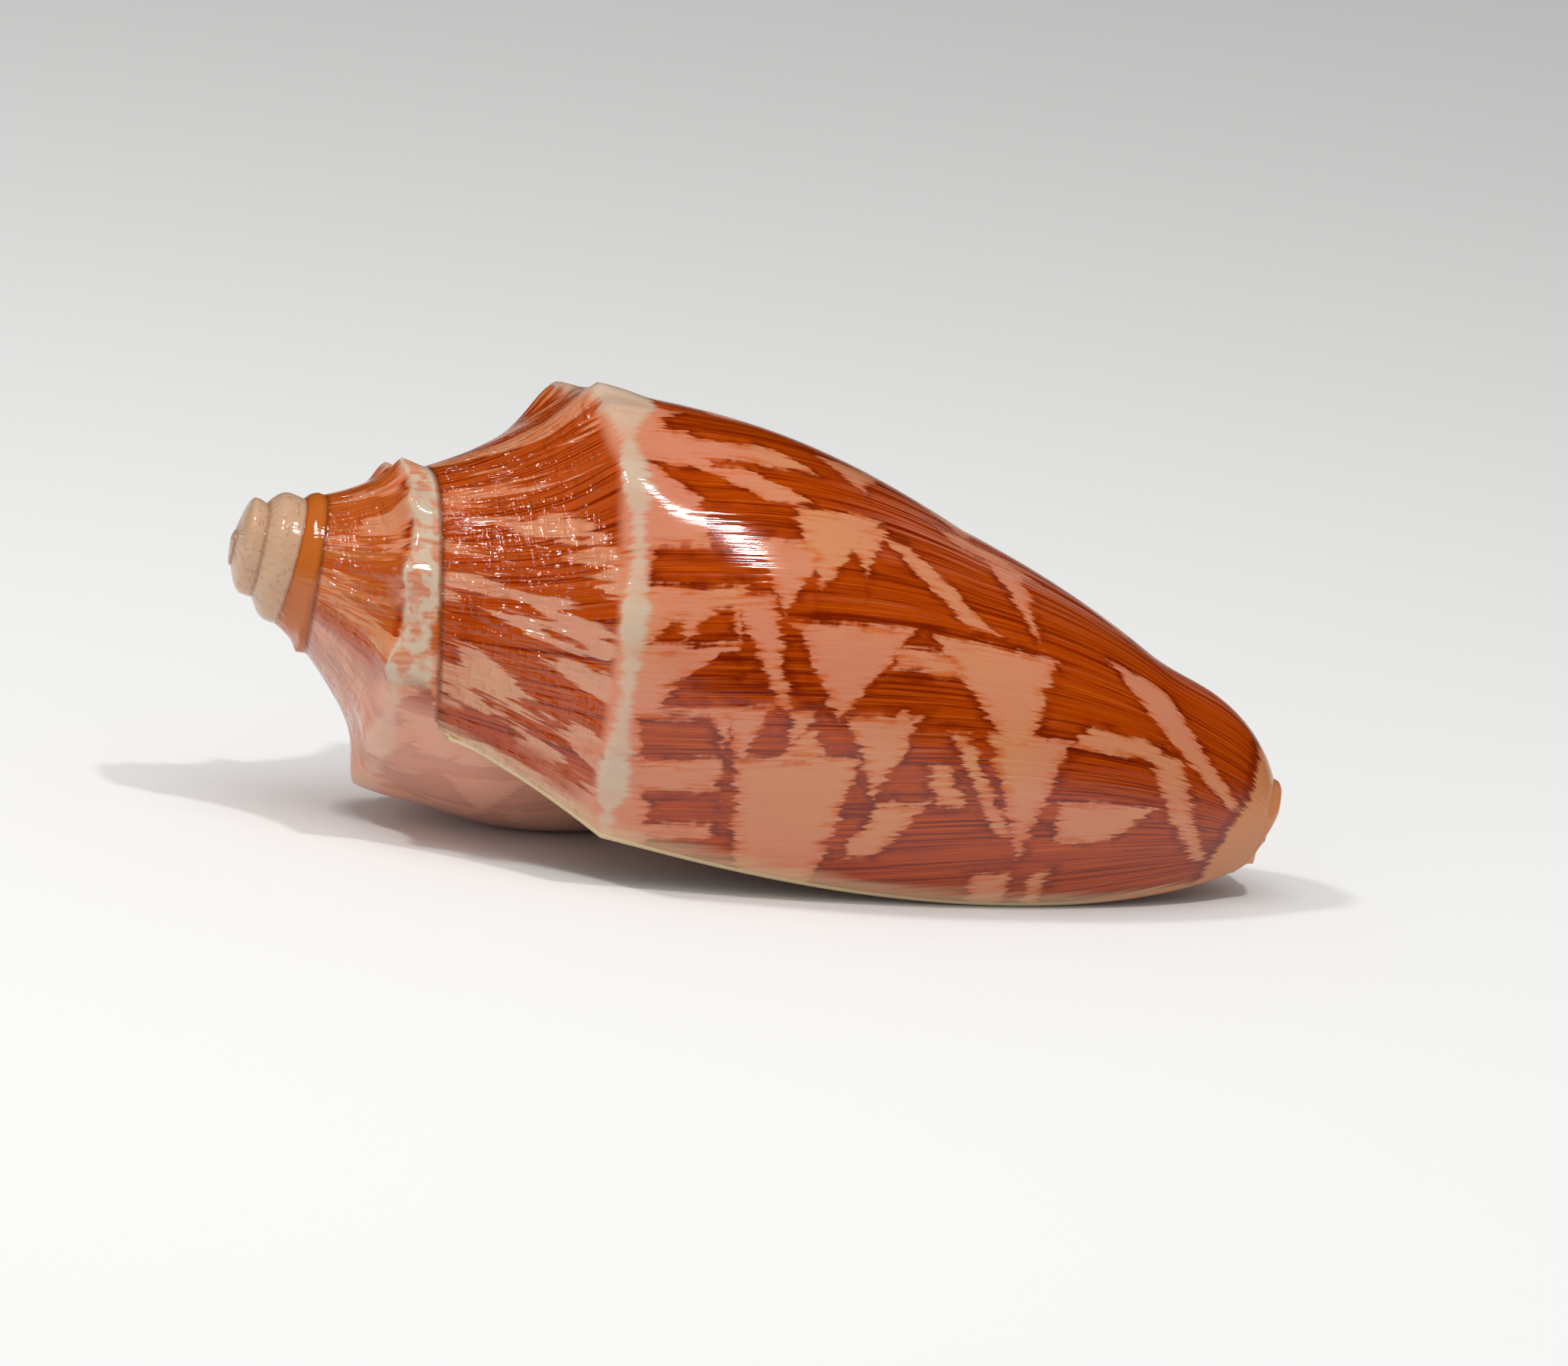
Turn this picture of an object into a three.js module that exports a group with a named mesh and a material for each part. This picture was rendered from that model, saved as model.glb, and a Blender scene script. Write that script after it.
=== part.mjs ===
// A volute shell of the bat-volute kind: a low spire with a smooth blunt tip, a row of pointed
// knobs along the shoulder, a long tapering last whorl and an open mouth with a folded columella.
// It grew as one piece, so it is one closed solid. Millimetres, +Z up, mouth down as it rests.
//
// Growth is counted in turns from the edge of the outer lip: 0 is the lip, -1 is one turn earlier.
// A place on the shell is given by its growth, its station along the coiling axis (from the tip of
// the spire towards the front end) and its radius from that axis.
import * as THREE from "three";

// Growth table: turns before the lip, shoulder radius, shoulder station, suture station
const GROWTH = [
  [-5.50, 0.0, 0.0, 0.0],
  [-4.86, 2.2, 0.5, 0.0],
  [-4.36, 3.8, 1.1, 0.2],
  [-3.86, 4.2, 2.2, 0.6],
  [-3.36, 5.1, 3.8, 2.1],
  [-2.86, 5.6, 4.8, 3.0],
  [-2.36, 5.9, 6.0, 5.0],
  [-1.86, 7.0, 8.0, 5.5],
  [-1.35, 10.3, 11.9, 6.5],
  [-1.10, 12.9, 14.7, 7.3],
  [-0.86, 15.0, 16.4, 8.7],
  [-0.61, 17.3, 19.0, 11.0],
  [-0.36, 20.8, 25.0, 13.7],
  [-0.14, 22.2, 31.6, 16.6],
  [0.00, 21.8, 34.6, 19.8],
];
const TURNS = 5.5;

// Height of the shoulder knobs: turns before the lip, height
const KNOB_HEIGHT = [[-5.5, 0], [-2.4, 0], [-2.1, 0], [-1.7, 0.4], [-1.3, 0.8], [-1.0, 1.0], [-0.86, 1.2],
  [-0.6, 1.3], [-0.41, 1.1], [-0.32, 1.0], [-0.23, 0.9], [-0.14, 0.6], [0, 0.4]];
const KNOBS_PER_TURN = 11;
const KNOB_PHASE = 0.5;          // knobs sit half a step back from the lip
const KNOB_WIDTH = 0.24;         // share of a step
const KNOB_HOOK = 0.8;           // lean towards the spire, share of the height
const KNOB_UP_RAMP = 0.22;       // reach up the ramp, share of the ramp
const KNOB_DOWN_WALL = 4;        // reach down the wall
const KNOB_HOOK_REACH = 1.5;     // reach of the lean down the wall

// Ramp: its bow outwards on the smooth tip, and its hollow on the later whorls, share of the rise
const TIP_BOW = 0.28;
const RAMP_HOLLOW = 0.09;
const TIP_WHORLS = [-2.6, -1.8]; // the smooth tip passes into knobbed whorls between these

// Body of the last whorl
const TIP_STATION = 91.0;        // front end of the shell
const BODY_START_END = 52;       // where the body wall ran out one turn before the lip
const BODY_REACHES = [-1.05, -0.45];
const SHELL_RATE = 0.75;         // growth of the wall's length in the older whorls, per turn
const BODY_POWER = 2.3;
const BODY_ROUND_LIP = 0.74;     // roundness of the taper at the lip and over the back
const BODY_ROUND_BACK = 0.62;
const BACK_FROM = -0.36;
// Bulge of the wall in its first half, share of the radius; it comes in on the side, more on the
// back, and is gone on the spire
const SWELL = 0.06;
const SWELL_SIDE = [0, -0.3];
const SWELL_BACK = [-0.45, -0.85];
const SWELL_SPIRE = [-2.2, -1.2];
const FRONT_START = 78;          // from here on the front end rounds off
const FRONT_CUT = 89.5;          // rim of the notch
const FRONT_BLEND = 1.2;         // fillet where the whorl meets the front end
// Radius of the blunt front end, fasciole and columella: turns before the lip, radius
const FRONT_RADIUS = [[-1.7, 3.7], [-1.0, 3.8], [-0.8, 4.6], [-0.6, 7.8], [-0.45, 10.6], [-0.33, 11.6],
  [-0.2, 9.6], [-0.1, 6.8], [0, 4.4]];
const COLUMELLA_SLOPE = 0.1;     // widening of the pillar away from the front end
const COLUMELLA_LENGTH = 45;     // and for how far it widens
const COLUMELLA_FROM = [-0.3, -0.8];
const SPIRE_FROM = -1.3;         // older whorls show no columella
const SPIRE_WALL = 3;            // for this far below their shoulder

// Wall, mouth and folds
const WALL = 1.9;
const WALL_FRONT = 0.9;          // the sloping wall needs this much more near the front end
const WALL_FRONT_PEAK = [0.5, 0.85]; // share of the way where it comes in and is fullest
const LIP_BACKSET = 1.3;         // the hollow keeps this far behind the outer wall's form
const LIP_BACKSET_ENDS = [0.8, 1];
const MOUTH_CORNER = 4.4;        // from the suture to the back corner of the mouth
const MOUTH_DEPTH = 0.64;        // how far the hollow runs back, in turns
const MOUTH_GAP = [0.5, 0.8];    // least gap to the columella at the corner, and its growth to the front
const NOTCH_TURNS = 0.34;        // how far round the front end is open
const FOLDS = [40, 46.5, 53, 59.5];
const FOLD_HEIGHT = 0.9;
const FOLD_WIDTH = 1.5;
const FOLD_PITCH = 16;
const FOLDS_FROM = [-0.93, -0.99];

// Lean of the spire tip
const TIP_LEAN = 0.7;
const TIP_LEAN_END = 11.7;

// Facets
const STEPS = 44;                // columns to a turn, four to a knob
const RAMP_ROWS = 4;
const WALL_ROWS = 2;
const BODY_ROWS = 20;
const ROW_CROWDING = 1.25;       // rows close up towards the front end
const RIM_TURN_ROWS = 4;         // rows over which the rim turns from the lip's way to the front
const CAP_SETBACK = 0.6;         // the front cap's middle stays this much behind the tip

// How it lies: turns about the axis and pitch that bring the mouth down on the ground
const LIP_ANGLE = 131;
const REST_ROLL = 79.4;
const REST_PITCH = 11.1;
const WEAR = 0.25;               // depth of the small worn flats it rests on

const clamp = (x, low, high) => Math.min(high, Math.max(low, x));
const hump = (x, width) => Math.exp(-Math.pow(x / width, 2));

function smoothStep(from, to, x) {
  const t = clamp((x - from) / (to - from), 0, 1);
  return t * t * (3 - 2 * t);
}

// Smooth curve through a table's column
function along(table, column, x) {
  const last = table.length - 1;
  const at = clamp(x, table[0][0], table[last][0]);
  const slope = (i) => (table[i + 1][column] - table[i][column]) / (table[i + 1][0] - table[i][0]);
  const tangent = (i) => {
    if (i === 0) return slope(0);
    if (i === last) return slope(last - 1);
    const before = table[i][0] - table[i - 1][0];
    const after = table[i + 1][0] - table[i][0];
    return (after * slope(i - 1) + before * slope(i)) / (before + after);
  };
  let i = 0;
  while (i < last - 1 && table[i + 1][0] <= at) i += 1;
  const width = table[i + 1][0] - table[i][0];
  const t = (at - table[i][0]) / width;
  const t2 = t * t;
  const t3 = t2 * t;
  return (2 * t3 - 3 * t2 + 1) * table[i][column] + (t3 - 2 * t2 + t) * width * tangent(i)
    + (3 * t2 - 2 * t3) * table[i + 1][column] + (t3 - t2) * width * tangent(i + 1);
}

const shoulderRadius = (n) => along(GROWTH, 1, n);
const shoulderStation = (n) => along(GROWTH, 2, n);
const sutureStation = (n) => along(GROWTH, 3, n);

function softMax(a, b, blend) {
  const h = clamp(0.5 + 0.5 * (a - b) / blend, 0, 1);
  return b * (1 - h) + a * h + blend * h * (1 - h);
}

// Station where the body wall of growth n would run out
function bodyEnd(n) {
  if (n > -1) {
    return BODY_START_END + (TIP_STATION - BODY_START_END) * smoothStep(...BODY_REACHES, n);
  }
  const lengthThen = BODY_START_END - shoulderStation(-1);
  return shoulderStation(n) + lengthThen * Math.exp(SHELL_RATE * (n + 1));
}

function whorlRadius(n, station) {
  const start = shoulderStation(n);
  const v = clamp((station - start) / (bodyEnd(n) - start), 0, 1);
  const turnsWith = smoothStep(...SWELL_SIDE, n) + smoothStep(...SWELL_BACK, n);
  const swell = SWELL * turnsWith * smoothStep(...SWELL_SPIRE, n);
  const bulge = 1 + swell * Math.sin(Math.PI * clamp(2 * v, 0, 1));
  const back = smoothStep(0, BACK_FROM, n);
  const round = BODY_ROUND_LIP * (1 - back) + BODY_ROUND_BACK * back;
  return shoulderRadius(n) * bulge * Math.pow(1 - Math.pow(v, BODY_POWER), round);
}

function frontRadius(n, station) {
  const t = clamp((station - FRONT_START) / (TIP_STATION - FRONT_START), 0, 1);
  const back = clamp(FRONT_START - station, 0, COLUMELLA_LENGTH);
  const pillar = COLUMELLA_SLOPE * back * smoothStep(...COLUMELLA_FROM, n);
  return (along(FRONT_RADIUS, 1, n) + pillar) * Math.sqrt(1 - t * t);
}

function foldRelief(n, station) {
  const heights = FOLDS.map((fold) => hump(station - fold - FOLD_PITCH * (n + 1), FOLD_WIDTH));
  const relief = FOLD_HEIGHT * heights.reduce((sum, height) => sum + height);
  return relief * smoothStep(...FOLDS_FROM, n);
}

// Whorl, columella and front end together
function bodyRadius(n, station) {
  const whorl = whorlRadius(n, station);
  if (n < SPIRE_FROM && station < shoulderStation(n) + SPIRE_WALL) return whorl;
  return softMax(whorl, frontRadius(n, station), FRONT_BLEND) + foldRelief(n, station);
}

function knob(n) {
  const phase = n * KNOBS_PER_TURN + KNOB_PHASE;
  return along(KNOB_HEIGHT, 1, n) * hump(phase - Math.round(phase), KNOB_WIDTH);
}

// A place in the shell's own frame: X along the axis, the angle turning about it
const turnAngle = (n) => THREE.MathUtils.degToRad(LIP_ANGLE) + 2 * Math.PI * n;

function place(n, station, radius) {
  const lean = TIP_LEAN * clamp(1 - station / TIP_LEAN_END, 0, 1);
  return new THREE.Vector3(
    station,
    radius * Math.cos(turnAngle(n)) + lean,
    radius * Math.sin(turnAngle(n)),
  );
}

// Ramp from the suture to the shoulder; u runs from 0 to 1
function rampPlace(n, u) {
  const suture = sutureStation(n);
  const start = whorlRadius(n - 1, suture);
  const rise = shoulderRadius(n) - start;
  const knobbed = smoothStep(...TIP_WHORLS, n);
  const bow = (TIP_BOW * (1 - knobbed) - RAMP_HOLLOW * knobbed) * Math.sin(Math.PI * u) * rise;
  const height = knob(n) * hump(1 - u, KNOB_UP_RAMP);
  const station = suture + (shoulderStation(n) - suture) * u - KNOB_HOOK * height;
  return place(n, station, start + rise * u + bow + height);
}

// Wall below the shoulder at a station; the knobs run down it and fade
function wallPlace(n, station, fade) {
  const below = station - shoulderStation(n);
  const height = knob(n) * fade;
  const hook = KNOB_HOOK * height * hump(below, KNOB_HOOK_REACH);
  return place(n, station - hook, bodyRadius(n, station) + height * hump(below, KNOB_DOWN_WALL));
}

// Outer radius of the whorl at a station, without knobs, ramp and wall together
function outerRadius(n, station) {
  const shoulder = shoulderStation(n);
  if (station >= shoulder) return bodyRadius(n, station);
  const suture = sutureStation(n);
  const start = whorlRadius(n - 1, suture);
  const u = clamp((station - suture) / (shoulder - suture), 0, 1);
  return start + (shoulderRadius(n) - start) * u;
}

const columns = Math.round(TURNS * STEPS);
const firstOpen = columns - STEPS;
const firstNotch = columns - Math.round(NOTCH_TURNS * STEPS);
const firstHollow = columns - Math.round(MOUTH_DEPTH * STEPS);
const neckRow = RAMP_ROWS + WALL_ROWS;
const endRow = neckRow + BODY_ROWS;
const growthOf = (column) => (column - columns) / STEPS;
const closedStrip = sutureStation(0) - shoulderStation(-1);
const crowded = (t) => 1 - Math.pow(1 - t, ROW_CROWDING);

const positions = [];
const triangles = [];

function vertex(point) {
  positions.push(point.x, point.y, point.z);
  return positions.length / 3 - 1;
}

function triangle(a, b, c) {
  if (a === b || b === c || c === a) return;
  triangles.push(a, b, c);
}

// Two triangles over the square between two neighbouring lines of vertices
function patch(lineA, lineB, row) {
  triangle(lineA[row], lineB[row], lineB[row + 1]);
  triangle(lineA[row], lineB[row + 1], lineA[row + 1]);
}

// Station of a row below the shoulder: in the older whorls the rows end at the next suture, and
// in the last turn they run on to the front end
function rowStation(n, row, open) {
  const shoulder = shoulderStation(n);
  const strip = open ? closedStrip : sutureStation(n + 1) - shoulder;
  if (row <= neckRow) return shoulder + strip * (row - RAMP_ROWS) / WALL_ROWS;
  return shoulder + strip + (FRONT_CUT - shoulder - strip) * crowded((row - neckRow) / BODY_ROWS);
}

// Outer surface: a strip that winds from the spire's tip to the lip, each turn's lower edge
// welded to the suture of the next, the last turn running on to the front end
const outer = [];
const apex = vertex(place(-TURNS, 0, 0));
for (let i = 0; i <= columns; i += 1) {
  const n = growthOf(i);
  const open = i >= firstOpen;
  const line = [];
  for (let row = 0; row < RAMP_ROWS; row += 1) {
    const atApex = i === 0 || (row === 0 && i <= STEPS);
    line.push(atApex ? apex : vertex(rampPlace(n, row / RAMP_ROWS)));
  }
  for (let row = RAMP_ROWS; row <= (open ? endRow : neckRow - 1); row += 1) {
    const fade = i > firstOpen ? 1 : clamp(1 - (row - RAMP_ROWS) / WALL_ROWS, 0, 1);
    line.push(i === 0 ? apex : vertex(wallPlace(n, rowStation(n, row, open), fade)));
  }
  outer.push(line);
}
for (let i = 0; i < firstOpen; i += 1) outer[i][neckRow] = outer[i + STEPS][0];
outer[columns][0] = outer[firstOpen][neckRow];
for (let i = 0; i < columns; i += 1) {
  const rows = i < firstOpen ? neckRow : endRow;
  for (let row = 0; row < rows; row += 1) patch(outer[i], outer[i + 1], row);
}

// Hollow: the inside of the outer wall, and the wall of the turn before with the columella
const innerRow = neckRow + 1;
const columellaRows = endRow - innerRow;
const inside = [];
const columella = [];

function insidePlace(n, corner, t) {
  const station = corner + (FRONT_CUT - corner) * crowded(t);
  const thicker = smoothStep(...WALL_FRONT_PEAK, t) * (1 - smoothStep(WALL_FRONT_PEAK[1], 1, t));
  const backset = LIP_BACKSET * (1 - smoothStep(...LIP_BACKSET_ENDS, t));
  const roof = outerRadius(n, station - backset) - WALL - WALL_FRONT * thicker;
  const floor = bodyRadius(n - 1, station) + MOUTH_GAP[0] + MOUTH_GAP[1] * t;
  return place(n, station, Math.max(roof, floor));
}

for (let i = columns; i >= firstHollow; i -= 1) {
  const n = growthOf(i);
  const corner = i === columns ? rowStation(-1, innerRow, true) : sutureStation(n) + MOUTH_CORNER;
  if (i === columns) {
    columella[i] = outer[firstOpen].slice(innerRow);
  } else {
    columella[i] = Array.from({ length: columellaRows + 1 }, (_, row) => {
      const station = corner + (FRONT_CUT - corner) * crowded(row / columellaRows);
      return vertex(place(n, station, bodyRadius(n - 1, station)));
    });
  }
  inside[i] = [columella[i][0]];
  for (let row = 1; row <= endRow; row += 1) inside[i].push(vertex(insidePlace(n, corner, row / endRow)));
}
for (let i = firstHollow; i < columns; i += 1) {
  for (let row = 0; row < endRow; row += 1) patch(inside[i + 1], inside[i], row);
  for (let row = 0; row < columellaRows; row += 1) patch(columella[i], columella[i + 1], row);
}
for (let i = firstHollow; i < firstNotch; i += 1) {
  triangle(inside[i + 1][endRow], inside[i][endRow], columella[i][columellaRows]);
  triangle(inside[i + 1][endRow], columella[i][columellaRows], columella[i + 1][columellaRows]);
}

// Rounded edge along the lip and round the notch, where it turns from the lip's way to the front
const edgeOuter = [...outer[columns]];
const edgeInner = [...inside[columns]];
for (let i = columns - 1; i >= firstNotch; i -= 1) {
  edgeOuter.push(outer[i][endRow]);
  edgeInner.push(inside[i][endRow]);
}
const pointOf = (index) => new THREE.Vector3().fromArray(positions, index * 3);
const edgeMiddle = edgeOuter.map((outerIndex, m) => {
  if (m === 0) return edgeInner[0];
  const a = pointOf(outerIndex);
  const b = pointOf(edgeInner[m]);
  const turn = clamp((m - endRow) / RIM_TURN_ROWS + 0.5, 0, 1);
  const angle = turnAngle(growthOf(columns - Math.max(0, m - endRow)));
  const forward = new THREE.Vector3(0, -Math.sin(angle), Math.cos(angle)).multiplyScalar(1 - turn);
  forward.x += turn;
  const middle = a.clone().add(b).multiplyScalar(0.5);
  return vertex(middle.addScaledVector(forward.normalize(), a.distanceTo(b) / 2));
});
for (let m = 0; m < edgeOuter.length - 1; m += 1) {
  patch(edgeMiddle, edgeInner, m);
  patch(edgeOuter, edgeMiddle, m);
}

// Cap over the columella's tip, and the closed end of the hollow
function fan(loop, centre) {
  const middle = vertex(centre);
  loop.forEach((from, k) => triangle(from, loop[(k + 1) % loop.length], middle));
}

const tipLoop = [];
for (let i = firstOpen; i <= firstNotch; i += 1) tipLoop.push(outer[i][endRow]);
tipLoop.push(edgeMiddle[edgeMiddle.length - 1], inside[firstNotch][endRow]);
for (let i = firstNotch; i < columns; i += 1) tipLoop.push(columella[i][columellaRows]);
fan(tipLoop, new THREE.Vector3(TIP_STATION - CAP_SETBACK, 0, 0));

const hollowLoop = [...columella[firstHollow], ...inside[firstHollow].slice(1).reverse()];
const hollowSum = new THREE.Vector3();
for (const index of hollowLoop) hollowSum.add(pointOf(index));
fan(hollowLoop, hollowSum.divideScalar(hollowLoop.length));

const geometry = new THREE.BufferGeometry();
geometry.setAttribute("position", new THREE.Float32BufferAttribute(positions, 3));
geometry.setIndex(triangles);

// Laid down mouth first, with the small worn flats it rests on, and its box centred over the origin
geometry.rotateX(THREE.MathUtils.degToRad(REST_ROLL));
geometry.rotateY(THREE.MathUtils.degToRad(REST_PITCH));
geometry.computeBoundingBox();
const box = geometry.boundingBox;
geometry.translate(-(box.min.x + box.max.x) / 2, -(box.min.y + box.max.y) / 2, -box.min.z - WEAR);
const spots = geometry.getAttribute("position");
for (let i = 0; i < spots.count; i += 1) spots.setZ(i, Math.max(0, spots.getZ(i)));
geometry.computeVertexNormals();

const shellMaterial = new THREE.MeshStandardMaterial({ color: 0xc9805a, roughness: 0.25, metalness: 0 });
const shell = new THREE.Mesh(geometry, shellMaterial);
shell.name = "shell";

const voluteShell = new THREE.Group();
voluteShell.add(shell);
export default voluteShell;
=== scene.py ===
# %% [markdown]
# A volute shell, grown by formula.
#
# A sea snail adds to its shell along one edge, so every place on the shell has a date: how many
# turns of growth before the finished lip it was laid down. Together with the station along the
# coiling axis, that date gives a place on the surface, and both the form and the colour pattern
# follow it. This script grows the fine mesh from the same measures as the CAD solid, and then
# paints it with nodes that read the growth and the station.

# %% Load the frame
import math

import bpy
import numpy as np
from mathutils import Matrix, Vector


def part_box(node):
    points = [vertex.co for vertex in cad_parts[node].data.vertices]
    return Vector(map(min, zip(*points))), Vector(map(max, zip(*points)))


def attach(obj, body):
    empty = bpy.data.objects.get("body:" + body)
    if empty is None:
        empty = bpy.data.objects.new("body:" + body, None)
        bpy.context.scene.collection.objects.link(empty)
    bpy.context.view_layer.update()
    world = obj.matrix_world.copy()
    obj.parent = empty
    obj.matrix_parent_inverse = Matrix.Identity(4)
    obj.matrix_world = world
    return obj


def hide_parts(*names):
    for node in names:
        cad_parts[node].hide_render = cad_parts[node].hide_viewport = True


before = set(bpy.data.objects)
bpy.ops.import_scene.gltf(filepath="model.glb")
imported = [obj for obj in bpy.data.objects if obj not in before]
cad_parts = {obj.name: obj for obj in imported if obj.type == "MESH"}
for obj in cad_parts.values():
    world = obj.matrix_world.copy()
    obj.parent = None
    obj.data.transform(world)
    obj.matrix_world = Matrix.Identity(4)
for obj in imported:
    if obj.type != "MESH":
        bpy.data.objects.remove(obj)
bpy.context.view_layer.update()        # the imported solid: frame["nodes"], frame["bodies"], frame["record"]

MM = 0.001

# %% [markdown]
# The shell's own frame has X along the coiling axis, from the tip of the spire to the front end.
# The growth table says how the shoulder and the suture move outwards and forwards as the snail
# grows. A snail doesn't keep a perfect ratio, so a smooth curve through measured rows fits the
# real shell better than one spiral formula, and it needs only a few numbers.

# %% Growth table and its smooth curves, in millimetres
# Turns before the lip, shoulder radius, shoulder station, suture station
GROWTH = [
    [-5.50, 0.0, 0.0, 0.0], [-4.86, 2.2, 0.5, 0.0], [-4.36, 3.8, 1.1, 0.2], [-3.86, 4.2, 2.2, 0.6],
    [-3.36, 5.1, 3.8, 2.1], [-2.86, 5.6, 4.8, 3.0], [-2.36, 5.9, 6.0, 5.0], [-1.86, 7.0, 8.0, 5.5],
    [-1.35, 10.3, 11.9, 6.5], [-1.10, 12.9, 14.7, 7.3], [-0.86, 15.0, 16.4, 8.7],
    [-0.61, 17.3, 19.0, 11.0], [-0.36, 20.8, 25.0, 13.7], [-0.14, 22.2, 31.6, 16.6],
    [0.00, 21.8, 34.6, 19.8],
]
# Turns before the lip, height of the shoulder knobs
KNOB_HEIGHT = [
    [-5.5, 0], [-2.4, 0], [-2.1, 0], [-1.7, 0.4], [-1.3, 0.8], [-1.0, 1.0], [-0.86, 1.2],
    [-0.6, 1.3], [-0.41, 1.1], [-0.32, 1.0], [-0.23, 0.9], [-0.14, 0.6], [0, 0.4],
]
# Turns before the lip, radius of the blunt front end
FRONT_RADIUS = [
    [-1.7, 3.7], [-1.0, 3.8], [-0.8, 4.6], [-0.6, 7.8], [-0.45, 10.6], [-0.33, 11.6],
    [-0.2, 9.6], [-0.1, 6.8], [0, 4.4],
]


def along(table, column, x):
    """Smooth curve through a table's column."""
    rows = np.array(table, float)
    knots, values = rows[:, 0], rows[:, column]
    widths = np.diff(knots)
    slopes = np.diff(values) / widths
    inner = (widths[1:] * slopes[:-1] + widths[:-1] * slopes[1:]) / (widths[1:] + widths[:-1])
    tangents = np.concatenate(([slopes[0]], inner, [slopes[-1]]))
    at = np.clip(x, knots[0], knots[-1])
    i = np.clip(np.searchsorted(knots, at, side="right") - 1, 0, len(knots) - 2)
    t = (at - knots[i]) / widths[i]
    return ((2 * t**3 - 3 * t**2 + 1) * values[i] + (t**3 - 2 * t**2 + t) * widths[i] * tangents[i]
            + (3 * t**2 - 2 * t**3) * values[i + 1] + (t**3 - t**2) * widths[i] * tangents[i + 1])


def smooth_step(start, end, x):
    t = np.clip((x - start) / (end - start), 0, 1)
    return t * t * (3 - 2 * t)


def soft_max(a, b, blend):
    h = np.clip(0.5 + 0.5 * (a - b) / blend, 0, 1)
    return b * (1 - h) + a * h + blend * h * (1 - h)


def shoulder_radius(growth):
    return along(GROWTH, 1, growth)


def shoulder_station(growth):
    return along(GROWTH, 2, growth)


def suture_station(growth):
    return along(GROWTH, 3, growth)


# %% [markdown]
# Below the shoulder each whorl narrows to the front in one long curve. The last whorl ends in a
# blunt rounded front with the columella inside it, the pillar that the older whorls leave behind.
# The larger of the two radii is the surface, blended where they meet. Four slanting folds ring
# the columella where it shows in the mouth.

# %% Radius of the whorl, the front end and the columella
TIP_STATION = 91.0
BODY_START_END = 52
BODY_POWER = 2.3
BODY_ROUND_LIP = 0.74
BODY_ROUND_BACK = 0.62
FRONT_START = 78
FRONT_CUT = 89.5
COLUMELLA_SLOPE = 0.1
COLUMELLA_LENGTH = 45
SPIRE_FROM = -1.3
FOLDS = [40, 46.5, 53, 59.5]
FOLD_HEIGHT = 0.9
FOLD_WIDTH = 1.5
FOLD_PITCH = 16
FOLDS_FROM = (-0.93, -0.99)       # turns before the lip between which the folds begin
BODY_REACHES = (-1.05, -0.45)     # in these turns the wall grows to its full length
SHELL_RATE = 0.75                 # how fast the older walls grow, to a turn
BACK_FROM = -0.36
SWELL = 0.06
SWELL_NEAR = (0, -0.3)
SWELL_FAR = (-0.45, -0.85)
SWELL_AFTER = (-2.2, -1.2)
SWELL_LENGTH = 0.5                # share of the wall that swells
FRONT_BLEND = 1.2
COLUMELLA_FROM = (-0.3, -0.8)
SPIRE_WALL = 3


def body_end(growth):
    """Station where the whorl's wall would run out."""
    last = BODY_START_END + (TIP_STATION - BODY_START_END) * smooth_step(*BODY_REACHES, growth)
    length = BODY_START_END - shoulder_station(-1.0)
    older = shoulder_station(growth) + length * np.exp(SHELL_RATE * np.minimum(growth + 1, 0))
    return np.where(growth > -1, last, older)


def whorl_radius(growth, station):
    start = shoulder_station(growth)
    v = np.clip((station - start) / (body_end(growth) - start), 0, 1)
    swell = SWELL * smooth_step(*SWELL_NEAR, growth) + SWELL * smooth_step(*SWELL_FAR, growth)
    swell = swell * smooth_step(*SWELL_AFTER, growth)
    bulge = 1 + swell * np.sin(np.pi * np.clip(v / SWELL_LENGTH, 0, 1))
    back = smooth_step(0, BACK_FROM, growth)
    roundness = BODY_ROUND_LIP * (1 - back) + BODY_ROUND_BACK * back
    return shoulder_radius(growth) * bulge * (1 - v**BODY_POWER) ** roundness


def front_radius(growth, station):
    t = np.clip((station - FRONT_START) / (TIP_STATION - FRONT_START), 0, 1)
    behind = np.clip(FRONT_START - station, 0, COLUMELLA_LENGTH)
    pillar = COLUMELLA_SLOPE * behind * smooth_step(*COLUMELLA_FROM, growth)
    return (along(FRONT_RADIUS, 1, growth) + pillar) * np.sqrt(1 - t * t)


def fold_relief(growth, station):
    relief = 0
    for fold in FOLDS:
        off = (station - fold - FOLD_PITCH * (growth + 1)) / FOLD_WIDTH
        relief = relief + FOLD_HEIGHT * np.exp(-off * off)
    return relief * smooth_step(*FOLDS_FROM, growth)


def body_radius(growth, station):
    whorl = whorl_radius(growth, station)
    full = soft_max(whorl, front_radius(growth, station), FRONT_BLEND) + fold_relief(growth, station)
    young = (growth < SPIRE_FROM) & (station < shoulder_station(growth) + SPIRE_WALL)
    return np.where(young, whorl, full)


# %% [markdown]
# Above the shoulder a ramp slopes back to the suture, the seam against the whorl before. Eleven
# knobs to a turn stand on the shoulder, lean towards the spire and fade down the wall. The tip
# of the spire is the shell that the snail hatched with, and it has no knobs.

# %% Ramp, knobs and a place in the shell's frame
KNOBS_PER_TURN = 11
KNOB_PHASE = 0.5
KNOB_WIDTH = 0.24
KNOB_HOOK = 0.8
KNOB_UP_RAMP = 0.22
KNOB_DOWN_WALL = 4
KNOB_HOOK_REACH = 1.5
TIP_BOW = 0.28
RAMP_HOLLOW = 0.09
TIP_WHORLS = (-2.6, -1.8)
LIP_ANGLE = 131
TIP_LEAN = 0.7
TIP_LEAN_END = 11.7


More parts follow.
